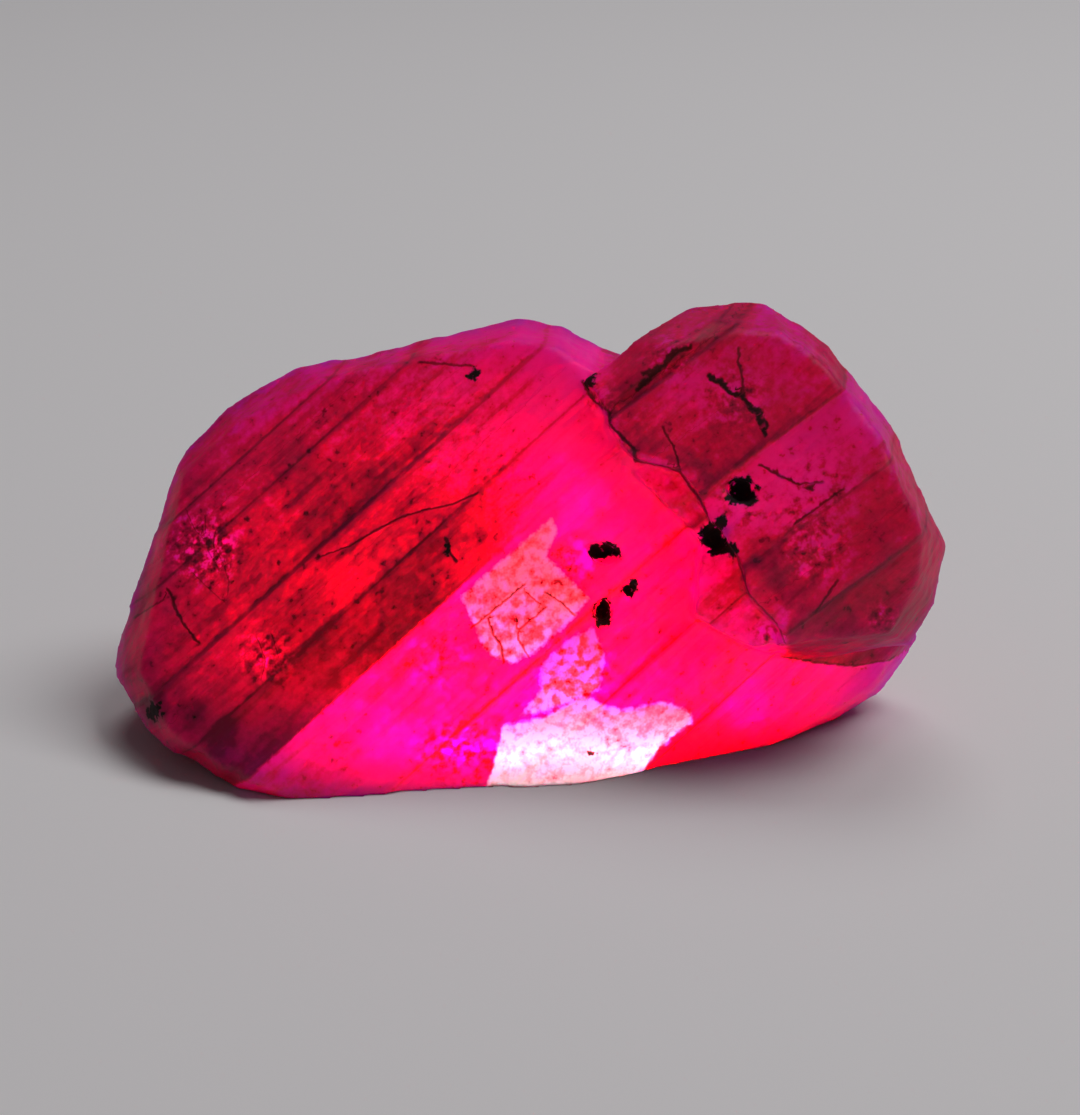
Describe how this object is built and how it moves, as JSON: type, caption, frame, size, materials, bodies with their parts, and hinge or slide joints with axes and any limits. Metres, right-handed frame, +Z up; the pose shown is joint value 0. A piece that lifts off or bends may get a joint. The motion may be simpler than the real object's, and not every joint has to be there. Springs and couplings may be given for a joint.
{
  "type": "raw ruby crystal",
  "caption": "Raw, uncut ruby: a long tapered crystal with a barrel-shaped second crystal grown over one end, ledged by parallel parting planes, with a broken terraced edge and dark pits.",
  "frame": {"origin": "under the middle of the crystal's box, on the flat face it rests on", "axes": "+X along the long side, from the tapered end of the main crystal to the second crystal; +Z up; the broad front with the ridge and the broken edge faces -Y"},
  "size_m": [0.0352, 0.0188, 0.0181],
  "materials": {
    "ruby": "natural crystal faces, waxy to glassy, see-through at thin edges"
  },
  "bodies": {
    "root": {"ruby_crystal": "ruby"}
  },
  "joints": []
}
